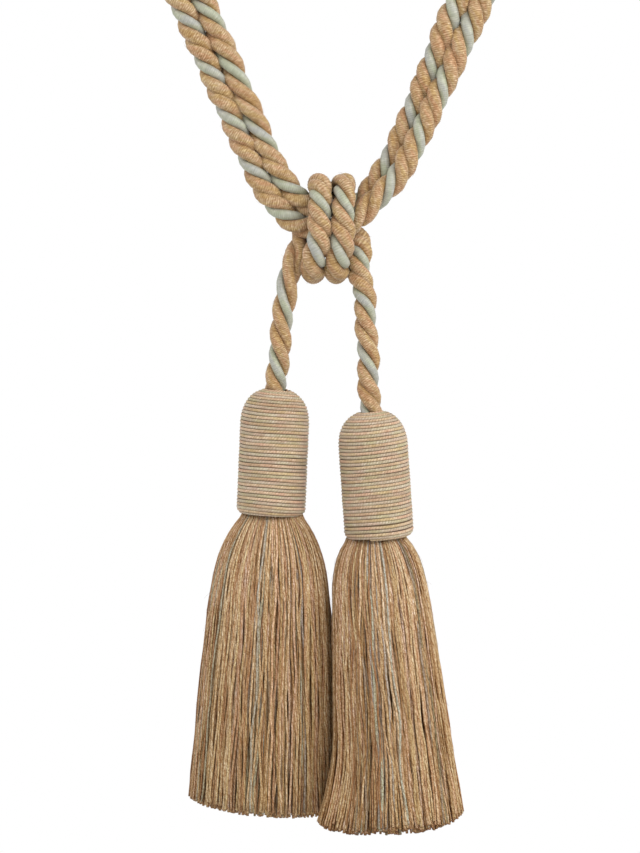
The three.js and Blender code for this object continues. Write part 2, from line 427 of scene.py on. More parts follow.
# One wrap: back, height, and how far it has moved over to the left.
WRAP = [
    (12, -237.2, 0), (7.6, -231.2, 0), (0, -228.9, 0), (-7.2, -231.5, 0),
    (-11.6, -237.8, 0), (-12.9, -246, 0), (-12.8, -254.5, 0.3), (-12.2, -263, 1),
    (-9.6, -270.4, 2.4), (-3.8, -276, 3.6), (3.8, -278.1, 4), (11.2, -276.4, 4),
]
WRAP_LEFT_X = -6
WRAP_RIGHT_X = 7.4
BIGHT = [
    (-11.0, 17.5, -271.6), (-11.8, 21.9, -265.4), (-8.6, 24.6, -259.4), (-1.6, 25.6, -256.4),
    (5.2, 24.8, -259.3), (7.8, 22.1, -265.4), (6.2, 17.5, -271.6),
]
RIGHT_TAIL = [
    (7.9, 13.2, -244.2), (8.7, 13.3, -250), (11.4, 11.6, -255.2), (14.8, 8.4, -259.6),
    (16.8, 5.2, -265.4), (16.5, 2.8, -272.6), (16.8, 1, -280.2), (18.4, -0.6, -288),
    (20.1, -2.2, -298.2), (20.3, -3.7, -309.7), (21.0, -5.1, -321.2), (21.9, -6.2, -332),
    (21.8, -6.9, -343.1), (22.3, -7, -351.4), (23.0, -7, -358.2),
]


def loop_arc(radius, lean):
    """The arc over the hook, from the top of the right arm to the top of the left one."""
    sweep = 180 + 2 * lean
    steps = round(sweep / ARC_STEP)
    turns = [math.radians(-lean + sweep * i / steps) for i in range(steps + 1)]
    return [(radius * math.cos(a), 0, LOOP_CENTRE_Z + radius * math.sin(a)) for a in turns]


def wrap_at(top_x):
    """One turn of the second rope over the loop, starting at this x."""
    return [(top_x - slide, back, height) for back, height, slide in WRAP]


ROUTES = {
    "embrace_inner": INNER_UP_RIGHT + loop_arc(*ROUNDS["embrace_inner"]) + INNER_DOWN_LEFT,
    "embrace_outer": OUTER_UP_RIGHT + loop_arc(*ROUNDS["embrace_outer"]) + OUTER_DOWN_LEFT,
    "tassel_cord": (
        LEFT_TAIL + wrap_at(WRAP_LEFT_X) + BIGHT + wrap_at(WRAP_RIGHT_X)[::-1] + RIGHT_TAIL
    ),
}
print("route points:", {name: len(points) for name, points in ROUTES.items()})


# %% Follow a route smoothly
ROUTE_STEP = 0.5 * MM


def smooth_route(points, spacing):
    """Even steps along the smooth curve through the points, in metres: distances and places.

    It is the centripetal Catmull-Rom curve that the frame's rope solids follow.
    """
    knots = np.array(points, float) * MM
    padded = np.vstack([2 * knots[0] - knots[1], knots, 2 * knots[-1] - knots[-2]])
    stretches = []
    t = np.linspace(0, 1, 25)[:-1, None]
    for p0, p1, p2, p3 in zip(padded, padded[1:], padded[2:], padded[3:]):
        d0, d1, d2 = (math.sqrt(np.linalg.norm(b - a)) for a, b in ((p0, p1), (p1, p2), (p2, p3)))
        leave = ((p1 - p0) / d0 - (p2 - p0) / (d0 + d1) + (p2 - p1) / d1) * d1
        arrive = ((p2 - p1) / d1 - (p3 - p1) / (d1 + d2) + (p3 - p2) / d2) * d1
        stretches.append(
            p1 + leave * t
            + (3 * (p2 - p1) - 2 * leave - arrive) * t**2
            + (2 * (p1 - p2) + leave + arrive) * t**3
        )
    fine = np.vstack([*stretches, knots[-1:]])
    run = run_along(fine)
    at = np.linspace(0, run[-1], round(run[-1] / spacing) + 1)
    return at, np.column_stack([np.interp(at, run, fine[:, i]) for i in range(3)])


def steady_frames(line):
    """Directions along the line, and two across it that turn as little as they can."""
    along = unit(np.gradient(line, axis=0))
    across = np.empty_like(line)
    side = np.array([0.0, -1.0, 0.0])
    for i, direction in enumerate(along):
        side = side - direction * (side @ direction)
        side /= np.linalg.norm(side)
        across[i] = side
    return along, across, np.cross(along, across)


for name, points in ROUTES.items():
    at, line = smooth_route(points, ROUTE_STEP)
    print(f"{name}: {at[-1]:.3f} m of rope, lowest at {line[:, 2].min():.3f} m")

# %% [markdown]
# ## Twisting the ropes
# Each rope is laid from three strands: two of jute gimp and one of sea-green cotton. They
# lean like the middle of an S on the front of a hanging rope, and one full turn takes
# about 33 mm. A rope isn't twisted evenly: it opens where it hangs free and tightens in
# the knot. So the table below gives the distances along each rope at which the sea-green
# strand comes to the front, and the twist runs smoothly from one to the next.
#
# Soft rope also gives way. The two rounds of the loop press together where they run side by
# side, and rope is packed fuller at a few spots where two ropes touch. Fine ribs cross the
# strands, because gimp is yarn wound over a cord.

# %% Measure the lay of the ropes
# The cotton strand is a little thinner than the two of jute.
STRAND_RADIUS = (2.62 * MM, 3.46 * MM, 3.46 * MM)
STRAND_OFFSET = 3.34 * MM
LAY = 33 * MM
# How far the second rope's strands run on into the heads.
TUCK = 3 * MM
# About 20 mm of rope, over which a change of twist is smoothed.
TWIST_WINDOW = 41
KNOT_CENTRE = np.array([0, 5, -256]) * MM
# Fullness of each rope where it hangs free and in the middle of the knot.
FULLNESS = {"embrace_inner": (1.09, 0.95), "embrace_outer": (1.09, 0.95), "tassel_cord": (1.0, 1.13)}
# Nearer to the knot's middle than the first distance a rope is tight, past the second free.
KNOT_REACH = (12 * MM, 28 * MM)
# How far a rope is pressed outwards from the loop's middle, where the two rounds run side by
# side, in mm.
PRESSED_OUT = {"embrace_inner": 0.4, "embrace_outer": -0.4, "tassel_cord": 0}
# Spots where the rope is packed fuller still, so no light shows between two ropes that touch:
# place, reach and extra share of thickness.
FULL_SPOTS = [((-3, 0, -272), 20, 0.16), ((0, 0, -231), 14, 0.06), ((77, 2, -131), 24, 0.1)]
# Where the sea-green strand faces front: distances in mm along the rope, and how many turns
# the strand has made since the one before.
SEA_GREEN_FRONT = {
    "embrace_inner": [
        (13, 1), (49, 1), (83, 1), (113, 1), (146, 1), (520, 11), (556, 1), (596, 1), (631, 1),
    ],
    "embrace_outer": [
        (8, 1), (44, 1), (77, 1), (108, 1), (143, 1), (578, 13), (609, 1), (640, 1), (672, 1),
        (703, 1),
    ],
    "tassel_cord": [
        (10, 1), (48, 1), (99, 1), (149, 2), (177, 1), (293, 4), (321, 1), (370, 1), (392, 1),
        (420, 1), (456, 1),
    ],
}
for name, fronts in SEA_GREEN_FRONT.items():
    print(name, "shows sea green in front", len(fronts), "times")


# %% Settle how the strands lie
def freedom(places):
    """0 for a place in the knot, 1 where the rope hangs free, and a smooth change between."""
    near, far = KNOT_REACH
    away = np.linalg.norm(places - KNOT_CENTRE, axis=-1)
    return eased(np.clip((away - near) / (far - near), 0, 1))


def pressed(name, places):
    """The rope's middle line, moved a little in the loop's plane towards the other round."""
    way = unit(np.gradient(places, axis=0))
    outwards = np.column_stack([way[:, 2], np.zeros(len(way)), -way[:, 0]])
    return places + outwards * (PRESSED_OUT[name] * MM * freedom(places))[:, None]


def fullness(name, places):
    """The thickness of a rope at each place, as a share of its plain thickness."""
    free, knotted = FULLNESS[name]
    share = knotted + (free - knotted) * freedom(places)
    for spot, reach, extra in FULL_SPOTS:
        apart = np.linalg.norm(places - np.array(spot) * MM, axis=-1)
        share = share + extra * np.exp(-((apart / (reach * MM)) ** 2))
    return share


def twist_angles(at, across, up, fronts):
    """Angle of the sea-green strand round the rope's centreline, at every step."""
    stations = np.array([distance for distance, _ in fronts]) * MM
    viewer = np.array([0.0, -1.0, 0.0])
    angles = []
    for i, station in enumerate(stations):
        step = int(np.argmin(abs(at - station)))
        facing = math.atan2(up[step] @ viewer, across[step] @ viewer)
        if i == 0:
            angles.append(facing)
            continue
        expected = angles[-1] - 2 * math.pi * fronts[i][1]
        angles.append(expected + (facing - expected + math.pi) % (2 * math.pi) - math.pi)
    before = angles[0] + 2 * math.pi * (stations[0] + LAY) / LAY
    after = angles[-1] - 2 * math.pi * (at[-1] + LAY - stations[-1]) / LAY
    wide = np.arange(-LAY, at[-1] + LAY, ROUTE_STEP)
    angles = np.interp(wide, [-LAY, *stations, at[-1] + LAY], [before, *angles, after])
    window = np.hanning(TWIST_WINDOW)
    smooth = np.convolve(angles, window / window.sum(), mode="same")
    return np.interp(at, wide, smooth)


def tucked(at, line, angles, tuck):
    """The line and its twist, carried straight on at both ends by the length that is tucked in."""
    steps = round(tuck / ROUTE_STEP)
    if steps == 0:
        return at, line, angles
    extra = np.arange(1, steps + 1)[:, None] * ROUTE_STEP
    lead_in = line[0] - unit(line[1] - line[0]) * extra[::-1]
    lead_out = line[-1] + unit(line[-1] - line[-2]) * extra
    turning = 2 * math.pi / LAY
    before = angles[0] + turning * extra[::-1, 0]
    after = angles[-1] - turning * extra[:, 0]
    places = np.concatenate([-extra[::-1, 0], at, at[-1] + extra[:, 0]])
    return places, np.vstack([lead_in, line, lead_out]), np.concatenate([before, angles, after])


print("freedom in the knot:", freedom(KNOT_CENTRE), "and at the hook:", freedom(np.zeros(3)))

# %% Lay three strands along each rope
# The ribs of the gimp: how far apart, how much they slant, and their height on each strand.
RIB_PITCH = 0.94 * MM
RIB_SLANT = 0.06
RIB_HEIGHT = (0.04 * MM, 0.1 * MM, 0.1 * MM)
STRANDS = 3
STRAND_SIDES = 9
STRAND_WANDER = 0.03
STRAND_SWELL = 0.025
# The fibre maps of two strands start this far apart, in metres, so no two look the same.
MAP_SHIFT = 3


def columns_at(at, rows, wanted):
    """Rows of three numbers, known at some distances, read off at the wanted ones."""
    return np.column_stack([np.interp(wanted, at, rows[:, i]) for i in range(3)])


def unevenness(wanted, strand):
    """How a strand wanders off its place and swells in slow waves, as shares of its size."""
    slow = np.sin(wanted / (19 * MM) + strand)
    wander = 1 + STRAND_WANDER * np.sin(wanted / (7.3 * MM) + 2.1 * strand) * slow
    swollen = 1 + STRAND_SWELL * np.sin(wanted / (11 * MM) + 4 * strand)
    return wander, swollen


def laid_rope(name, seed, tuck=0.0):
    """The three strands of one rope as a single mesh.

    tuck carries the strands on into whatever the ends run into.
    """
    dice = np.random.default_rng(seed)
    route_at, route_line = smooth_route(ROUTES[name], ROUTE_STEP)
    _, across, up = steady_frames(route_line)
    angles = twist_angles(route_at, across, up, SEA_GREEN_FRONT[name])
    at, line, angles = tucked(route_at, route_line, angles, tuck)
    steps = (len(at) - len(route_at)) // 2
    across = np.vstack([across[:1]] * steps + [across] + [across[-1:]] * steps)
    up = np.vstack([up[:1]] * steps + [up] + [up[-1:]] * steps)
    slope = math.hypot(1, 2 * math.pi * STRAND_OFFSET / LAY)
    rings = 2 * int((at[-1] - at[0]) * slope / RIB_PITCH)
    wanted = np.linspace(at[0], at[-1], rings)
    turn_of_rope = np.interp(wanted, at, angles)
    middle = pressed(name, columns_at(at, line, wanted))
    n, b = unit(columns_at(at, across, wanted)), unit(columns_at(at, up, wanted))
    full = fullness(name, middle)

    centres, side_a, side_b, runs, ridges = [], [], [], [], []
    for strand in range(STRANDS):
        turn = turn_of_rope + strand * 2 * math.pi / STRANDS
        out = np.cos(turn)[:, None] * n + np.sin(turn)[:, None] * b
        wander, swollen = unevenness(wanted, strand)
        core = middle + out * (STRAND_OFFSET * full * wander)[:, None]
        way = unit(np.gradient(core, axis=0))
        outward = unit(out - way * np.sum(out * way, axis=1, keepdims=True))
        sideways = np.cross(way, outward)
        crest = np.where(np.arange(rings) % 2 == 0, 1.0, -1.0)
        uneven = dice.uniform(0.45, 1.4, rings)
        radius = STRAND_RADIUS[strand] * full * swollen + RIB_HEIGHT[strand] * crest * uneven
        centres.append(core)
        side_a.append(outward * radius[:, None])
        side_b.append((sideways + way * RIB_SLANT) * radius[:, None])
        runs.append(run_along(core) + strand * MAP_SHIFT)
        ridges.append(0.5 + 0.5 * crest * np.clip(uneven, 0, 1))
    rope = tube_mesh(
        f"{name}_strands", np.array(centres), np.array(side_a), np.array(side_b), STRAND_SIDES,
        np.array(runs), {"ridge": np.array(ridges)}, [cotton, jute], [0, 1, 1],
    )
    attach(rope, "root")
    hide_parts(name)
    print(f"{name}: {route_at[-1]:.3f} m of rope, {rings} rings to a strand")
    return rope


ropes = {
    "embrace_inner": laid_rope("embrace_inner", seed=11),
    "embrace_outer": laid_rope("embrace_outer", seed=12),
    "tassel_cord": laid_rope("tassel_cord", seed=13, tuck=TUCK),
}

# %% [markdown]
# ## Where the tassels hang
# Each tassel hangs a few degrees out of plumb, and the right one hangs lower and a little
# further forward, so its skirt overlaps the other. A tassel is built upright, with the
# top of its head at the origin, and this cell works out how it is turned and placed.
#
# The skirts aren't alike. The left one's cut ends slope a little, and the foot of the right
# one swings forward and spreads to the left, where it lies over its neighbour.

# %% Tassel sizes and their places
HEAD_RADIUS = 20 * MM
HEAD_HEIGHT = 73.5 * MM
DOME_HEIGHT = 22 * MM
DOME_POWER = 2.4
RIM_RADIUS = 4.5 * MM
# The skirt starts this far under the head.
SEAT_GAP = 0.3 * MM
# From front to back, as a share of its width.
SKIRT_DEPTH = 0.78
# The yarns at the rim are cut this much higher than the one in the middle.
SKIRT_CROWN = 5 * MM
SPLAY_FROM = 105 * MM
# Lengths are in mm. top is the middle of the head's top. lean and nod are degrees out of
# plumb, sideways and forwards. winds is the way round that the head is wound. The skirt
# starts with the radius neck and swells by swell, most of it within swell_run, and flare is
# its slope from there on. shift moves it off the head's axis, and drift moves it further on
# the way down. hem slopes its cut ends, and kick and splay swing its foot forward and to
# the left, below SPLAY_FROM.
TASSELS = {
    "left": {
        "top": (-31.3, 3, -345.7), "lean": -2.4, "nod": 2, "winds": 1,
        "length": 172.4, "neck": 17.6, "swell": 15.9, "swell_run": 19, "flare": 0.061,
        "shift": 1, "drift": (0.006, 0.03), "hem": 0.04, "kick": 0, "splay": 0,
    },
    "right": {
        "top": (23, -7, -358.6), "lean": 4, "nod": 4.5, "winds": -1,
        "length": 160.7, "neck": 17.1, "swell": 8.9, "swell_run": 9.5, "flare": 0.073,
        "shift": -2.1, "drift": (0.012, -0.115), "hem": 0, "kick": 16, "splay": 12,
    },
}


def tassel_place(tassel):
    """The turn and move that take an upright tassel to where it hangs."""
    turn = Matrix.Rotation(math.radians(tassel["nod"]), 4, "X")
    turn = turn @ Matrix.Rotation(-math.radians(tassel["lean"]), 4, "Y")
    return Matrix.Translation(Vector(tassel["top"]) * MM) @ turn


def placed(points, matrix):
    """The points, turned and moved by the matrix."""
    return points @ np.array(matrix.to_3x3()).T + np.array(matrix.translation)


def turned(directions, matrix):
    """The directions, only turned by it."""
    return directions @ np.array(matrix.to_3x3()).T


for side, tassel in TASSELS.items():
    _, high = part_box(f"head_{side}")
    print(side, "head's top in the frame:", round(high.z / MM, 1), "mm, here", tassel["top"][2])

# %% [markdown]
# ## The wound heads
# A head is a wooden mould with yarn wound on it in close rows, a tan yarn and a grey-green
# one side by side. Painted lines would look flat at the edge, so the yarns are real: two
# flattened tubes that follow the mould's outline round and round, half a step apart. Rows
# that are wound by hand drift up and down a little, and the two heads are wound in opposite
# directions. The mould inside is a lathed form, built ring by ring by extruding a disc
# upwards.

# %% Winding yarn finishes
def winding_yarn(name, dark, middle, light):
    """Plied yarn wound on the mould: slanting plies, and painted shade between the plies and in the
    grooves between the rows.
    """
    recipe = Recipe(name, roughness=0.7, specular=0.25, sheen=0.12)
    fibres = recipe.noise(0.9, 6, twist=0.2, detail=3)
    body = recipe.ramp(fibres, (0.28, dark), (0.5, middle), (0.72, light))
    fade_and_foot_shade = recipe.ramp(recipe.noise(0.03, 1, detail=1), (0.35, WHITE), (0.7, paint(228, 220, 210)))
    patches = recipe.ramp(
        recipe.noise(0.07, 1, detail=2),
        (0.36, paint(255, 240, 242)), (0.5, WHITE), (0.64, paint(252, 255, 236)),
    )
    ply = recipe.plies(3.4)
    # Painted shade in the grooves between the plies.
    ply_groove_shade = recipe.ramp(ply, (0.1, paint(232, 228, 222)), (0.7, WHITE))
    # Painted shade in the grooves between the rows, on the sides of each yarn where it meets its
    # neighbours.
    row_groove_shade = recipe.ramp(recipe.section(), (0.5, paint(126, 108, 86)), (0.85, WHITE))
    recipe.colour(recipe.tinted(body, fade_and_foot_shade, patches, ply_groove_shade, row_groove_shade))
    recipe.bump(recipe.added(fibres, ply), 0.3, 0.15 * MM)
    return recipe.material


tan_winding = winding_yarn(
    "tan_winding", paint(164, 138, 108), paint(190, 166, 138), paint(212, 193, 168)
)
grey_winding = winding_yarn(
    "grey_green_winding", paint(158, 146, 124), paint(178, 166, 144), paint(201, 192, 174)
)


def mould_wood():
    """Bare turned wood, of which only a glimpse shows between the rows."""
    recipe = Recipe("mould_under_winding", roughness=0.85, specular=0.2)
    place = recipe.node("ShaderNodeTexCoord").outputs["Object"]
    grain = recipe.node("ShaderNodeTexNoise")
    grain.inputs["Scale"].default_value = 300
    recipe.link(place, grain.inputs["Vector"])
    wood = recipe.ramp(grain.outputs["Fac"], (0.3, paint(112, 92, 66)), (0.7, paint(134, 112, 84)))
    recipe.colour(wood)
    return recipe.material


mould_finish = mould_wood()
print("head finishes:", tan_winding.name, grey_winding.name, mould_finish.name)

# %% Draw the head's outline
WINDING_PITCH = 1.97 * MM
WINDING_THICK = 0.96 * MM
WINDING_SINK = 0.9 * MM
WINDING_START = 6.2 * MM
# Half a yarn's width, as a share of the pitch: neighbours just touch.
WINDING_LAP = 0.505
RINGS_PER_TURN = 84
WINDING_SIDES = 8
MOULD_GAP = 0.2 * MM
MOULD_FOOT = 2.4 * MM
# How far the winding strays down the head and back, in mm: whole rows, once in a turn, three
# times in a turn, slips of one yarn, and its fine tremble.
ROWS_STRAY, TURN_STRAY, THIRD_STRAY, SLIP, TREMBLE = 0.3, 0.25, 0.12, 0.06, 0.03


def dome_radius(depth):
    """The head's radius at a depth under its top: a dome with rather square shoulders."""
    rise = max(0.0, 1 - depth / DOME_HEIGHT)
    return HEAD_RADIUS * (1 - rise**DOME_POWER) ** (1 / DOME_POWER)


def head_outline():
    """Radius and depth along the head, from the rope down over the dome and round the rim."""
    rows = []
    # The rows lie closer together near the top, where the dome is almost level.
    for i in range(1, 400):
        depth = DOME_HEIGHT * (i / 400) ** 2
        if dome_radius(depth) >= WINDING_START:
            rows.append((dome_radius(depth), depth))
    rim_top = HEAD_HEIGHT - RIM_RADIUS
    rows += [(HEAD_RADIUS, depth) for depth in np.linspace(DOME_HEIGHT, rim_top, 60)]
    for turn in np.radians(np.linspace(5, 90, 24)):
        rows.append((
            HEAD_RADIUS - RIM_RADIUS * (1 - math.cos(turn)),
            rim_top + RIM_RADIUS * math.sin(turn),
        ))
    return np.array(rows)


print("the outline is", round(run_along(head_outline())[-1] / MM, 1), "mm long")


# %% Wind the yarns and turn the mould
def wound_yarns(side, tassel, seed):
    """The two yarns wound on a head, as one mesh."""
    dice = np.random.default_rng(seed)
    outline = head_outline()
    run = run_along(outline)
    facing = unit(np.gradient(outline, run, axis=0))
    turns = (run[-1] - WINDING_PITCH) / (2 * WINDING_PITCH)
    rings = int(turns * RINGS_PER_TURN)
    spin = np.linspace(0, turns, rings)
    angle = 2 * math.pi * spin * tassel["winds"]
    sags = dice.normal(0, ROWS_STRAY, round(turns / 3))
    slack = np.interp(spin, np.linspace(0, turns, len(sags)), sags)
    slack += (
        TURN_STRAY * np.sin(angle + spin * 0.3 + 1.2)
        + THIRD_STRAY * np.sin(3 * angle + spin * 0.25)
    )
    around = np.column_stack([np.cos(angle), np.sin(angle), np.zeros(rings)])
    downwards = np.array([0.0, 0.0, -1.0])
    centres, side_a, side_b, runs = [], [], [], []
    for yarn in range(2):
        slips = dice.normal(0, 1, round(turns * 3))
        wobble = slack + SLIP * np.interp(spin, np.linspace(0, turns, len(slips)), slips)
        wobble += TREMBLE * np.sin(angle * 5.3 + dice.uniform(0, 6.28))
        down = (2 * spin + yarn) * WINDING_PITCH + wobble * MM
        down = np.clip(down, 0, run[-1])
        radius, depth = (np.interp(down, run, outline[:, i]) for i in (0, 1))
        slope = unit(np.column_stack([np.interp(down, run, facing[:, i]) for i in (0, 1)]))
        out = around * slope[:, 1:2] - downwards * slope[:, 0:1]
        spot = around * radius[:, None] + downwards * depth[:, None]
        # A yarn also lies a little higher or lower as it goes round.
        lift = (0.05 * np.sin(angle * 0.81 + yarn) + 0.04 * np.sin(angle * 3.3 + 2 * yarn)) * MM
        core = spot - out * (WINDING_SINK - lift)[:, None]
        way = unit(np.gradient(core, axis=0))
        centres.append(core)
        side_a.append(out * WINDING_THICK)
        side_b.append(np.cross(way, out) * WINDING_PITCH * WINDING_LAP)
        runs.append(run_along(core) + yarn * 2)
    matrix = tassel_place(tassel)
    head = tube_mesh(
        f"head_{side}_winding", placed(np.array(centres), matrix), turned(np.array(side_a), matrix),
        turned(np.array(side_b), matrix), WINDING_SIDES, np.array(runs), {},
        [tan_winding, grey_winding], [0, 1],
    )
    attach(head, "root")
    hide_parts(f"head_{side}")


def lathed_mould(side, tassel):
    """The mould under the winding: a disc extruded upwards ring by ring and closed at the top."""
    inset = WINDING_SINK + MOULD_GAP
    radius, depth = HEAD_RADIUS - RIM_RADIUS - inset, HEAD_HEIGHT - MOULD_FOOT
    bpy.ops.object.select_all(action="DESELECT")
    bpy.ops.mesh.primitive_circle_add(
        vertices=48, radius=radius, fill_type="NGON", location=(0, 0, -depth)
    )
    mould = bpy.context.object
    mould.name = f"head_{side}_mould"
    steps = [(HEAD_RADIUS - inset, HEAD_HEIGHT - RIM_RADIUS - 1 * MM)]
    for share in (1.0, 0.7, 0.45, 0.28, 0.15, 0.07, 0.03):
        level = share * DOME_HEIGHT
        steps.append((dome_radius(level) - inset, level + inset * (1 - share)))
    bpy.ops.object.mode_set(mode="EDIT")
    bpy.ops.mesh.select_mode(type="FACE")
    bpy.ops.mesh.select_all(action="SELECT")
    for new_radius, new_depth in steps:
        bpy.ops.mesh.extrude_region_move(TRANSFORM_OT_translate={"value": (0, 0, depth - new_depth)})
        ratio = new_radius / radius
        bpy.ops.transform.resize(value=(ratio, ratio, 1), center_override=(0, 0, -new_depth))
        radius, depth = new_radius, new_depth
    bpy.ops.mesh.select_all(action="SELECT")
    bpy.ops.mesh.normals_make_consistent(inside=False)
    bpy.ops.object.mode_set(mode="OBJECT")
    bpy.ops.object.shade_smooth_by_angle(angle=math.radians(40))
    mould.data.transform(Matrix.Translation(mould.location))
    mould.location = (0, 0, 0)
    mould.data.transform(tassel_place(tassel))
    mould.data.materials.clear()
    mould.data.materials.append(mould_finish)
    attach(mould, "root")


for seed, (side, tassel) in enumerate(TASSELS.items(), start=31):
    wound_yarns(side, tassel, seed)
    lathed_mould(side, tassel)

# %% [markdown]
# ## The skirts
# A skirt is a hank of yarns tied up inside the head and cut at the foot. Hundreds of yarns
# leave the neck packed side by side, swell over the shoulder and hang down, each with its
# own small wander, its own tone and its own length. More than half of them are the cover,
# near the outside, where they are seen, and the rest fill the middle so that no gap looks
# through; these are painted darker, as shade. Towards the foot the yarns gather in locks and
# get a little painted shade, and the few grey-green ones come in bunches.

# %% Skirt yarn finishes
def skirt_yarn(name, dark, middle, light):
    """Dry spun yarn: fibres that slant with the twist, and a tone that changes from yarn to yarn."""
    recipe = Recipe(name, roughness=0.72, specular=0.16, sheen=0.04)
    fibres = recipe.noise(0.3, 16, twist=0.06, detail=3)
    body = recipe.ramp(fibres, (0.3, dark), (0.5, middle), (0.7, light))
    flecks = recipe.ramp(
        recipe.noise(1.3, 5, detail=2), (0.36, paint(196, 178, 158)), (0.56, WHITE)
    )
    tone = recipe.ramp(
        recipe.attribute("tone"),
        (0.0, paint(188, 166, 140)), (0.5, paint(234, 226, 215)), (1.0, WHITE),
    )
    hue = recipe.ramp(
        recipe.attribute("hue"),
        (0.0, paint(238, 236, 250)), (0.2, paint(255, 244, 238)),
        (0.5, paint(252, 252, 246)), (1.0, paint(244, 247, 228)),
    )
    # Painted shade: each yarn is darker towards the foot and lighter at the top, where the light falls
    # from above.
    fade_and_foot_shade = recipe.ramp(
        recipe.attribute("fall"),
        (0.12, WHITE), (0.5, paint(243, 239, 231)), (0.9, paint(238, 235, 225)),
    )
    ply = recipe.plies(14)
    # Painted shade in the grooves between the plies.
    ply_groove_shade = recipe.ramp(ply, (0.1, paint(230, 221, 210)), (0.55, WHITE))
    # Painted shade on each yarn's flanks and inner side.
    flank_shade = recipe.ramp(recipe.section(), (0.3, paint(186, 150, 108)), (0.75, WHITE))
    recipe.colour(recipe.tinted(body, flecks, tone, hue, fade_and_foot_shade, ply_groove_shade, flank_shade))
    recipe.bump(recipe.added(fibres, ply), 0.35, 0.25 * MM)
    return recipe.material


jute_yarn = skirt_yarn("jute_yarn", paint(181, 140, 97), paint(212, 188, 158), paint(235, 223, 211))
grey_yarn = skirt_yarn("grey_green_yarn", paint(157, 153, 149), paint(183, 183, 179), paint(208, 210, 207))
print("skirt finishes:", jute_yarn.name, grey_yarn.name)

# %% Settle how a skirt's yarns hang
COVER_YARNS = 560
COVER_SIDES = 6
SKIRT_LAYERS = {
    # name: yarns, rings, sides, yarn radius in mm, innermost and outermost share of the bundle
    "core": (430, 12, 5, 0.78, 0.0, 0.86),
    "cover": (COVER_YARNS, 28, COVER_SIDES, 0.67, 0.8, 1.0),
}
LOCKS = 30
YARN_START = -1.4 * MM
# How unevenly single yarns and whole locks are cut, and how much every yarn is cut short, mm.
CUT_UNEVEN = {"yarn": 1.0, "lock": 0.8}
CUT_SHORT = 0.2
# From the head down to this depth the bundle opens: inner yarns move outwards, by this share
# of the power that packs them, and the outer ones stand out further by this much, in mm.
SHOULDER = 34 * MM
OPENED = 0.56
STANDS_OUT = 0.6
# The waves in a yarn's wander: how many to its length, and how wide in mm.
WAVES = ((1.7, 0.8), (3.6, 0.4), (8, 0.12))
# By the foot: how far a yarn has strayed sideways, how much deeper some of them lie, how deep
# the parting between two locks is, and what share of the way to the middle of its lock a
# yarn has gone.
STRAY = 1.4 * MM
SUNK = 0.5 * MM
PARTING = 1.2 * MM
GATHERED = 0.33
# Where the yarns leave the head they are pressed thin, to this share of their thickness.
PRESSED_THIN = 0.74
# The yarns in the middle of the bundle get painted shade: their tones go up to this share only.
CORE_SHADE_TONE = 0.4
# Where the grey-green yarns gather, in degrees round from the right, with the front at -90,
# how far a bunch reaches, and their share of the yarns elsewhere and in a bunch.
GREY_BUNCHES = {"left": (-163, -97, -74, -55), "right": (-121, -103, -92, -41)}
GREY_SPREAD = 5
GREY_SHARE = (0.03, 0.28)


def skirt_radius(tassel, depth):
    """The skirt's outer radius at a depth under the head."""
    return (
        tassel["neck"] * MM
        + tassel["swell"] * MM * (1 - np.exp(-depth / (tassel["swell_run"] * MM)))
        + tassel["flare"] * depth
    )


def locked(angle, centres):
    """How far each yarn would turn to reach the nearest of the centres, and which one that is."""
    gap = (centres[None, :] - angle % (2 * math.pi) + math.pi) % (2 * math.pi) - math.pi
    nearest = np.abs(gap).argmin(axis=1)
    return np.take_along_axis(gap, nearest[:, None], axis=1), nearest


def cut_lengths(tassel, packed, angle, lock, dice):
    """How long each yarn is: cut a little unevenly, one by one and lock by lock."""
    cut = np.abs(dice.normal(0, CUT_UNEVEN["yarn"], (len(angle), 1)))
    cut = cut + dice.normal(0, CUT_UNEVEN["lock"], LOCKS)[lock][:, None]
    length = (tassel["length"] - CUT_SHORT - np.maximum(cut, 0)) * MM - SKIRT_CROWN * packed**3
    foot_radius = skirt_radius(tassel, tassel["length"] * MM)
    return length + tassel["hem"] * foot_radius * packed ** (1 - OPENED) * np.cos(angle)


def wander(fall, dice):
    """How far each yarn sways sideways and sinks into the bundle on its way down."""
    sway = np.zeros_like(fall)
    lift = np.zeros_like(fall)
    for rate, size in WAVES:
        rates = rate * dice.uniform(0.7, 1.3, (len(fall), 1))
        phases = dice.uniform(0, 2 * math.pi, (len(fall), 2))
        sway += size * MM * np.sin(2 * math.pi * rates * fall + phases[:, :1])
        lift += 0.5 * size * MM * np.sin(2 * math.pi * rates * fall + phases[:, 1:])
    return sway, np.abs(lift)


def swung(tassel, below, rim, x, y):
    """The yarns moved as the whole skirt swings: off the axis, and forward and left at the foot."""
    late = np.maximum(0, (below - SPLAY_FROM) / (tassel["length"] * MM - SPLAY_FROM)) ** 2
    x -= tassel["splay"] * MM * late * np.maximum(0, -x / rim)
    x += tassel["shift"] * MM + tassel["drift"][0] * below
    y += tassel["drift"][1] * below - tassel["kick"] * MM * late
    return x, y


def grey_green(side, angle, dice):
    """1 for each yarn that is grey-green and 0 for jute."""
    bunch = np.degrees(locked(angle, np.radians(GREY_BUNCHES[side]))[0])[:, 0]
    elsewhere, inside = GREY_SHARE
    chance = elsewhere + (inside - elsewhere) * np.exp(-((bunch / GREY_SPREAD) ** 2))
    return (dice.uniform(0, 1, len(angle)) < chance).astype(int)


for side, tassel in TASSELS.items():
    foot = skirt_radius(tassel, tassel["length"] * MM)
    print(f"the {side} skirt ends with a radius of {foot / MM:.1f} mm")


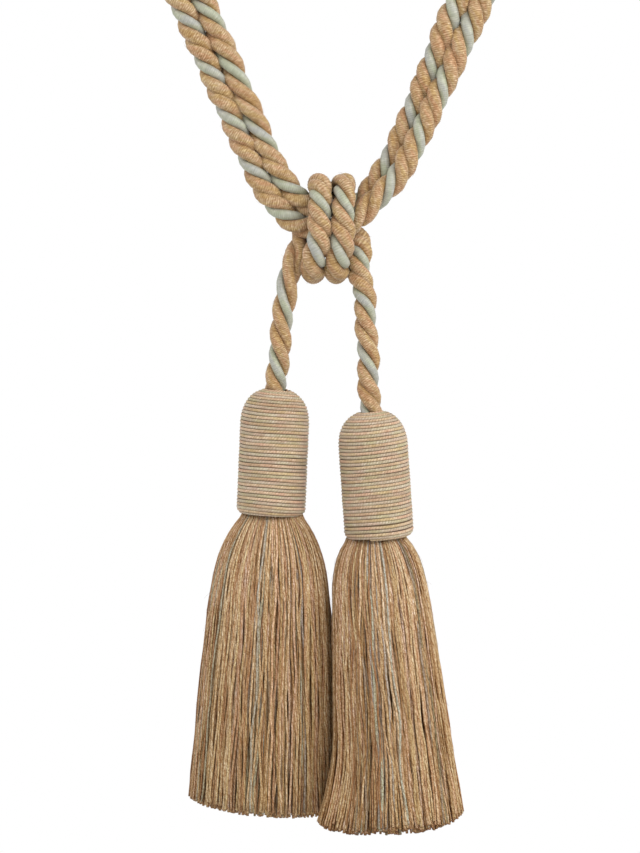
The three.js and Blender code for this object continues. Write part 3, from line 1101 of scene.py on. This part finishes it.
# %% Hang the yarns
def hang_yarns(side, tassel, layer, seed):
    """One layer of a skirt's yarns, from under the head to the cut ends, as one mesh."""
    dice = np.random.default_rng(seed)
    count, rings, sides, thickness, inner, outer = SKIRT_LAYERS[layer]
    packed = np.sqrt(inner**2 + (outer**2 - inner**2) * (np.arange(count) + 0.5) / count)[:, None]
    angle = (np.arange(count) * math.pi * (3 - math.sqrt(5)))[:, None]
    centres = np.sort(np.arange(LOCKS) + dice.uniform(-0.35, 0.35, LOCKS)) * 2 * math.pi / LOCKS
    pull, lock = locked(angle, centres)
    length = cut_lengths(tassel, packed, angle, lock, dice)
    # The rings lie closer together at the shoulder, where a yarn bends most.
    depth = YARN_START + (length - YARN_START) * np.linspace(0, 1, rings)[None, :] ** 1.2
    below = np.maximum(depth, 0)
    fall = below / (tassel["length"] * MM)

    spread = eased(np.clip(below / SHOULDER, 0, 1))
    rim = skirt_radius(tassel, below) - (thickness - STANDS_OUT * spread) * MM
    sway, lift = wander(fall, dice)
    # Over the first fifth of its length a yarn is still held by the head.
    ease_in = np.minimum(1, 5 * fall)
    stray = dice.normal(0, STRAY, (count, 1)) * fall
    parting = np.minimum(1, (pull * LOCKS / math.pi) ** 2) * PARTING * fall
    sunk = lift + np.abs(dice.normal(0, SUNK, (count, 1))) + parting
    radius = rim * packed ** (1 - OPENED * spread) - sunk * ease_in
    aside = (stray + sway * ease_in) / np.maximum(radius, 4 * MM)
    heading = angle + GATHERED * pull * fall**1.3 + aside
    x = radius * np.cos(heading)
    y = radius * np.sin(heading) * SKIRT_DEPTH
    x, y = swung(tassel, below, rim, x, y)
    places = np.stack([x, y, -HEAD_HEIGHT - SEAT_GAP - depth], axis=-1)

    way = unit(np.gradient(places, axis=1))
    outward = np.stack([np.cos(heading), np.sin(heading), np.zeros_like(heading)], axis=-1)
    outward = unit(outward - way * np.sum(outward * way, axis=-1, keepdims=True))
    thick = thickness * MM * dice.uniform(0.8, 1.2, (count, 1, 1))
    thick = thick * (PRESSED_THIN + (1 - PRESSED_THIN) * spread[..., None])
    run = run_along(places) + np.arange(count)[:, None] * 7.31 * MM
    tone, hue = (np.repeat(dice.uniform(0, 1, (count, 1)), rings, axis=1) for _ in range(2))
    # Painted shade: the yarns in the middle of the bundle are darker.
    if layer == "core":
        tone *= CORE_SHADE_TONE
    kinds = grey_green(side, angle, dice)
    matrix = tassel_place(tassel)
    skirt = tube_mesh(
        f"skirt_{side}_{layer}", placed(places, matrix), turned(outward * thick, matrix),
        turned(np.cross(way, outward) * thick, matrix), sides, run,
        {"tone": tone, "hue": hue, "fall": fall}, [jute_yarn, grey_yarn], kinds,
    )
    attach(skirt, "root")
    return skirt


covers = {}
for seed, (side, tassel) in enumerate(TASSELS.items(), start=51):
    covers[side] = hang_yarns(side, tassel, "cover", seed)
    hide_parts(f"skirt_{side}")
    hang_yarns(side, tassel, "core", seed + 10)

# %% [markdown]
# ## Loose fibres
# Jute is never quite smooth: short fibre ends stand off the yarn and soften every edge.
# Each hair is a thin closed tube of three sides. It grows from a point that is drawn at
# random on the outer side of a strand or a yarn, follows it for a little way and lifts off.

# %% Let fibres stand off the ropes and the skirts
HAIR_RINGS = 5
HAIR_RADIUS = 0.075 * MM
# How much a hair lifts off and how far it leans to one side, as shares of its length.
HAIR_LIFT = (0.04, 0.24)
HAIR_LEAN = 0.3
# For a rope and a skirt: the tubes in the piece and the sides of each, the first tube that
# carries hairs and the one after the last, the corners of a ring that face outwards, the
# number of hairs and their reach in mm. A rope's first tube is cotton, which is smooth.
HAIRS = {
    "twisted_rope": (STRANDS, STRAND_SIDES, (1, STRANDS), (0, 1, 2, 7, 8), 500, 4.5),
    "yarn_skirt": (COVER_YARNS, COVER_SIDES, (180, COVER_YARNS), (0, 1, 5), 800, 9),
}


def loose_fibres(piece, slot, finish, seed):
    """Hairs that grow from random spots on the outside of a rope or a skirt."""
    dice = np.random.default_rng(seed)
    tubes, sides, hairy, corners, count, reach = HAIRS[slot]
    spots = np.empty(len(piece.data.vertices) * 3)
    piece.data.vertices.foreach_get("co", spots)
    spots = spots.reshape(tubes, -1, sides, 3)
    middles = spots.mean(axis=2)
    tube = dice.integers(*hairy, count)
    ring = dice.integers(1, spots.shape[1] - 4, count)
    corner = dice.choice(corners, count)
    out = unit(spots[tube, ring, corner] - middles[tube, ring])
    way = unit(middles[tube, ring + 3] - middles[tube, ring])
    # The yarns of a skirt are combed downwards, but a strand's fibres point both ways.
    if slot == "twisted_rope":
        way *= dice.choice([-1, 1], (count, 1))
    aside = np.cross(way, out)

    at = np.linspace(0, 1, HAIR_RINGS)[None, :, None]
    length = reach * MM * dice.uniform(0.3, 1.0, (count, 1, 1))
    lift = dice.uniform(*HAIR_LIFT, (count, 1, 1)) * np.sin(2.5 * at)
    lean = dice.normal(0, HAIR_LEAN, (count, 1, 1)) * at**1.6
    root = (0.1 * middles[tube, ring] + 0.9 * spots[tube, ring, corner])[:, None, :]
    places = root + length * (at * way[:, None] + lift * out[:, None] + lean * aside[:, None])
    run = run_along(places) + np.arange(count)[:, None] * 3.7 * MM
    forward = unit(np.gradient(places, axis=1))
    up = unit(out[:, None] - forward * np.sum(out[:, None] * forward, axis=-1, keepdims=True))
    thick = HAIR_RADIUS * (1 - 0.6 * at)
    flat = np.ones((count, HAIR_RINGS))
    hairs = tube_mesh(
        piece.name + "_fibres", places, up * thick, np.cross(forward, up) * thick, 3, run,
        {"tone": flat, "hue": 0.5 * flat, "fall": 0.5 * flat, "ridge": flat},
        [finish], np.zeros(count, dtype=int),
    )
    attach(hairs, "root")


for seed, rope in enumerate(ropes.values(), start=71):
    loose_fibres(rope, "twisted_rope", jute, seed)
for seed, cover in enumerate(covers.values(), start=81):
    loose_fibres(cover, "yarn_skirt", jute_yarn, seed)

# %% [markdown]
# ## Floor and light
# The tieback hangs over a pale floor, which is far enough below that only a soft shadow
# falls on it. The world is white to the camera and in reflections, and plain grey as a
# light, so the backdrop costs no extra light on the yarn. The strongest of three soft lamps
# stands in front, a little to the right and high up. The second one, further round to the
# right, models the ropes, and a weaker one fills from the left.

# %% Lay the floor
# In metres: how far under the frame's lowest solid the floor lies, and its size.
FLOOR_DROP = 0.1
FLOOR_SIZE = 12
# In the middle of the floor this share of the lit surface shows, with its shadow. It fades
# out between these two distances from the middle, in metres.
SHADOW_SHARE = 0.5
SHADOW_FADE = (0.1, 0.42)


def backdrop_rays(tree):
    """1 for a ray that sees the backdrop's own white: from the camera, a mirror or glass."""
    path = tree.nodes.new("ShaderNodeLightPath")
    seen = path.outputs["Is Camera Ray"]
    for kind in ("Is Glossy Ray", "Is Transmission Ray"):
        either = tree.nodes.new("ShaderNodeMath")
        either.operation = "MAXIMUM"
        tree.links.new(seen, either.inputs[0])
        tree.links.new(path.outputs[kind], either.inputs[1])
        seen = either.outputs[0]
    return seen


def floor_finish():
    """White towards the camera, with enough of the lit surface mixed in to show a shadow."""
    recipe = Recipe("pale_floor", roughness=0.9, specular=0.0)
    recipe.shader.inputs["Base Color"].default_value = (0.86, 0.86, 0.86, 1)
    place = recipe.node("ShaderNodeTexCoord").outputs["Object"]
    distance = recipe.node("ShaderNodeVectorMath", operation="LENGTH")
    recipe.link(place, distance.inputs[0])
    fade = recipe.node("ShaderNodeMapRange")
    fade.inputs["From Min"].default_value = SHADOW_FADE[0]
    fade.inputs["From Max"].default_value = SHADOW_FADE[1]
    fade.inputs["To Min"].default_value = 1 - SHADOW_SHARE
    recipe.link(distance.outputs["Value"], fade.inputs["Value"])
    seen = recipe.node("ShaderNodeMath", operation="MULTIPLY")
    recipe.link(fade.outputs["Result"], seen.inputs[0])
    recipe.link(backdrop_rays(recipe.tree), seen.inputs[1])
    mix = recipe.node("ShaderNodeMixShader")
    recipe.link(seen.outputs[0], mix.inputs[0])
    recipe.link(recipe.shader.outputs[0], mix.inputs[1])
    recipe.link(recipe.node("ShaderNodeEmission").outputs[0], mix.inputs[2])
    recipe.link(mix.outputs[0], recipe.tree.nodes["Material Output"].inputs["Surface"])
    return recipe.material


bpy.ops.object.select_all(action="DESELECT")
bpy.ops.mesh.primitive_plane_add(size=FLOOR_SIZE, location=(0, 0, cad_low.z - FLOOR_DROP))
floor = bpy.context.object
floor.name = "pale_floor"
floor.data.materials.append(floor_finish())
print("the floor lies", round(-floor.location.z, 3), "m under the hook")


# %% Light it
WORLD_STRENGTH = 0.78
# Place, width in metres and power in watts.
LAMPS = {
    "front": ((0.6, -1.55, 0.9), 0.9, 18.5),
    "right": ((1.4, -0.8, 0.3), 0.8, 14),
    "left": ((-1.5, -0.4, 0.4), 0.8, 9),
}


def white_world(strength):
    """White where the camera looks past the tieback, and a plain dimmer room around it."""
    world = bpy.data.worlds.new("studio")
    bpy.context.scene.world = world
    world.use_nodes = True
    tree = world.node_tree
    room = tree.nodes["Background"]
    room.inputs["Color"].default_value = (1, 1, 1, 1)
    room.inputs["Strength"].default_value = strength
    backdrop = tree.nodes.new("ShaderNodeBackground")
    backdrop.inputs["Color"].default_value = (1, 1, 1, 1)
    mix = tree.nodes.new("ShaderNodeMixShader")
    tree.links.new(backdrop_rays(tree), mix.inputs[0])
    tree.links.new(room.outputs[0], mix.inputs[1])
    tree.links.new(backdrop.outputs[0], mix.inputs[2])
    tree.links.new(mix.outputs[0], tree.nodes["World Output"].inputs["Surface"])


def soft_lamp(name, place, size, power):
    """A square lamp that looks at the middle of the picture."""
    data = bpy.data.lights.new(name, "AREA")
    data.shape = "SQUARE"
    data.size = size
    data.energy = power
    lamp = bpy.data.objects.new(name, data)
    bpy.context.collection.objects.link(lamp)
    lamp.location = place
    lamp.rotation_euler = (picture_centre - Vector(place)).to_track_quat("-Z", "Y").to_euler()


white_world(WORLD_STRENGTH)
for name, (place, size, power) in LAMPS.items():
    soft_lamp(name, place, size, power)
print("lamps:", *LAMPS)

# %% [markdown]
# ## Last settings
# Colours are shown as rendered, with the Standard view transform, and the scene is brought up
# to date.

# %% Set the view transform
bpy.context.scene.view_settings.view_transform = "Standard"
bpy.context.view_layer.update()
